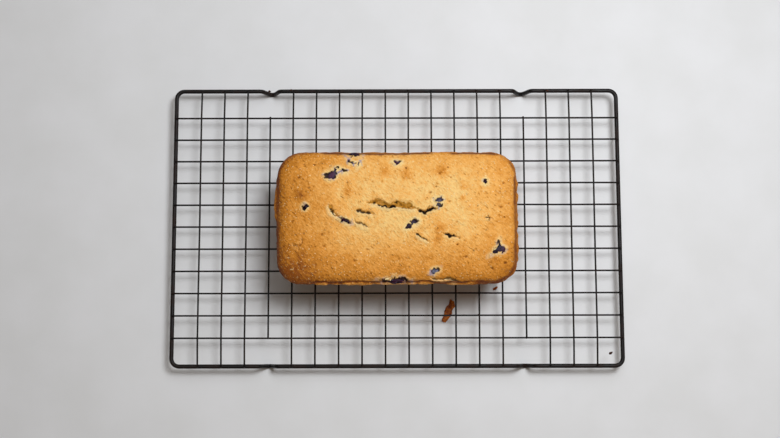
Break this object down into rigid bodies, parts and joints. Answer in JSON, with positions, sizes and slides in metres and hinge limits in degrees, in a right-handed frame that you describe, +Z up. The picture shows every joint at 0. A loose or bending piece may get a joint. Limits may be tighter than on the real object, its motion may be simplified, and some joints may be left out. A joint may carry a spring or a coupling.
{
  "type": "pound cake on a wire rack",
  "caption": "Rectangular blueberry pound cake with a domed golden crust, cooling on a footed wire rack of thin crossed wires on a heavy frame wire.",
  "frame": {"origin": "on the table, under the middle of the rack", "axes": "+Z up; +X along the rack's and the loaf's long side; +Y from the front long side, nearest the viewer, to the back one"},
  "size_m": [0.4064, 0.254, 0.0843],
  "materials": {
    "rack_coating": "satin",
    "golden_crust": "matte",
    "blueberry_skin": "satin",
    "pan_side_crust": "matte"
  },
  "bodies": {
    "rack": {"frame_wire_front": "rack_coating", "frame_wire_right": "rack_coating", "frame_wire_back": "rack_coating", "frame_wire_left": "rack_coating", "long_wire_01": "rack_coating", "long_wire_02": "rack_coating", "long_wire_03": "rack_coating", "long_wire_04": "rack_coating", "long_wire_05": "rack_coating", "long_wire_06": "rack_coating", "long_wire_07": "rack_coating", "long_wire_08": "rack_coating", "long_wire_09": "rack_coating", "long_wire_10": "rack_coating", "long_wire_11": "rack_coating", "cross_wire_01": "rack_coating", "cross_wire_02": "rack_coating", "cross_wire_03": "rack_coating", "cross_wire_04": "rack_coating", "cross_wire_05": "rack_coating", "cross_wire_06": "rack_coating", "cross_wire_07": "rack_coating", "cross_wire_08": "rack_coating", "cross_wire_09": "rack_coating", "cross_wire_10": "rack_coating", "cross_wire_11": "rack_coating", "cross_wire_12": "rack_coating", "cross_wire_13": "rack_coating", "cross_wire_14": "rack_coating", "cross_wire_15": "rack_coating", "cross_wire_16": "rack_coating", "cross_wire_17": "rack_coating", "cross_wire_18": "rack_coating", "crust_flake": "pan_side_crust", "crust_crumb": "pan_side_crust"},
    "cake": {"loaf": "golden_crust", "berry_back_left": "blueberry_skin", "berry_back_left_small": "blueberry_skin", "berry_back_rim": "blueberry_skin", "berry_back_middle": "blueberry_skin", "berry_left": "blueberry_skin", "berry_left_crack": "blueberry_skin", "berry_crack_end": "blueberry_skin", "berry_middle": "blueberry_skin", "berry_back_right": "blueberry_skin", "berry_right_front": "blueberry_skin", "berry_front_right": "blueberry_skin", "berry_front_rim": "blueberry_skin", "berry_front_side_left": "blueberry_skin", "berry_front_side_middle": "blueberry_skin", "berry_front_side_right": "blueberry_skin", "berry_back_side_left": "blueberry_skin", "berry_back_side_middle": "blueberry_skin", "berry_back_side_right": "blueberry_skin", "berry_left_end": "blueberry_skin", "berry_right_end": "blueberry_skin"}
  },
  "joints": [
    {"name": "cake_lift", "type": "slide", "parent": "rack", "child": "cake", "axis": [0, 0, 1], "range_m": [0, 0.12]}
  ]
}
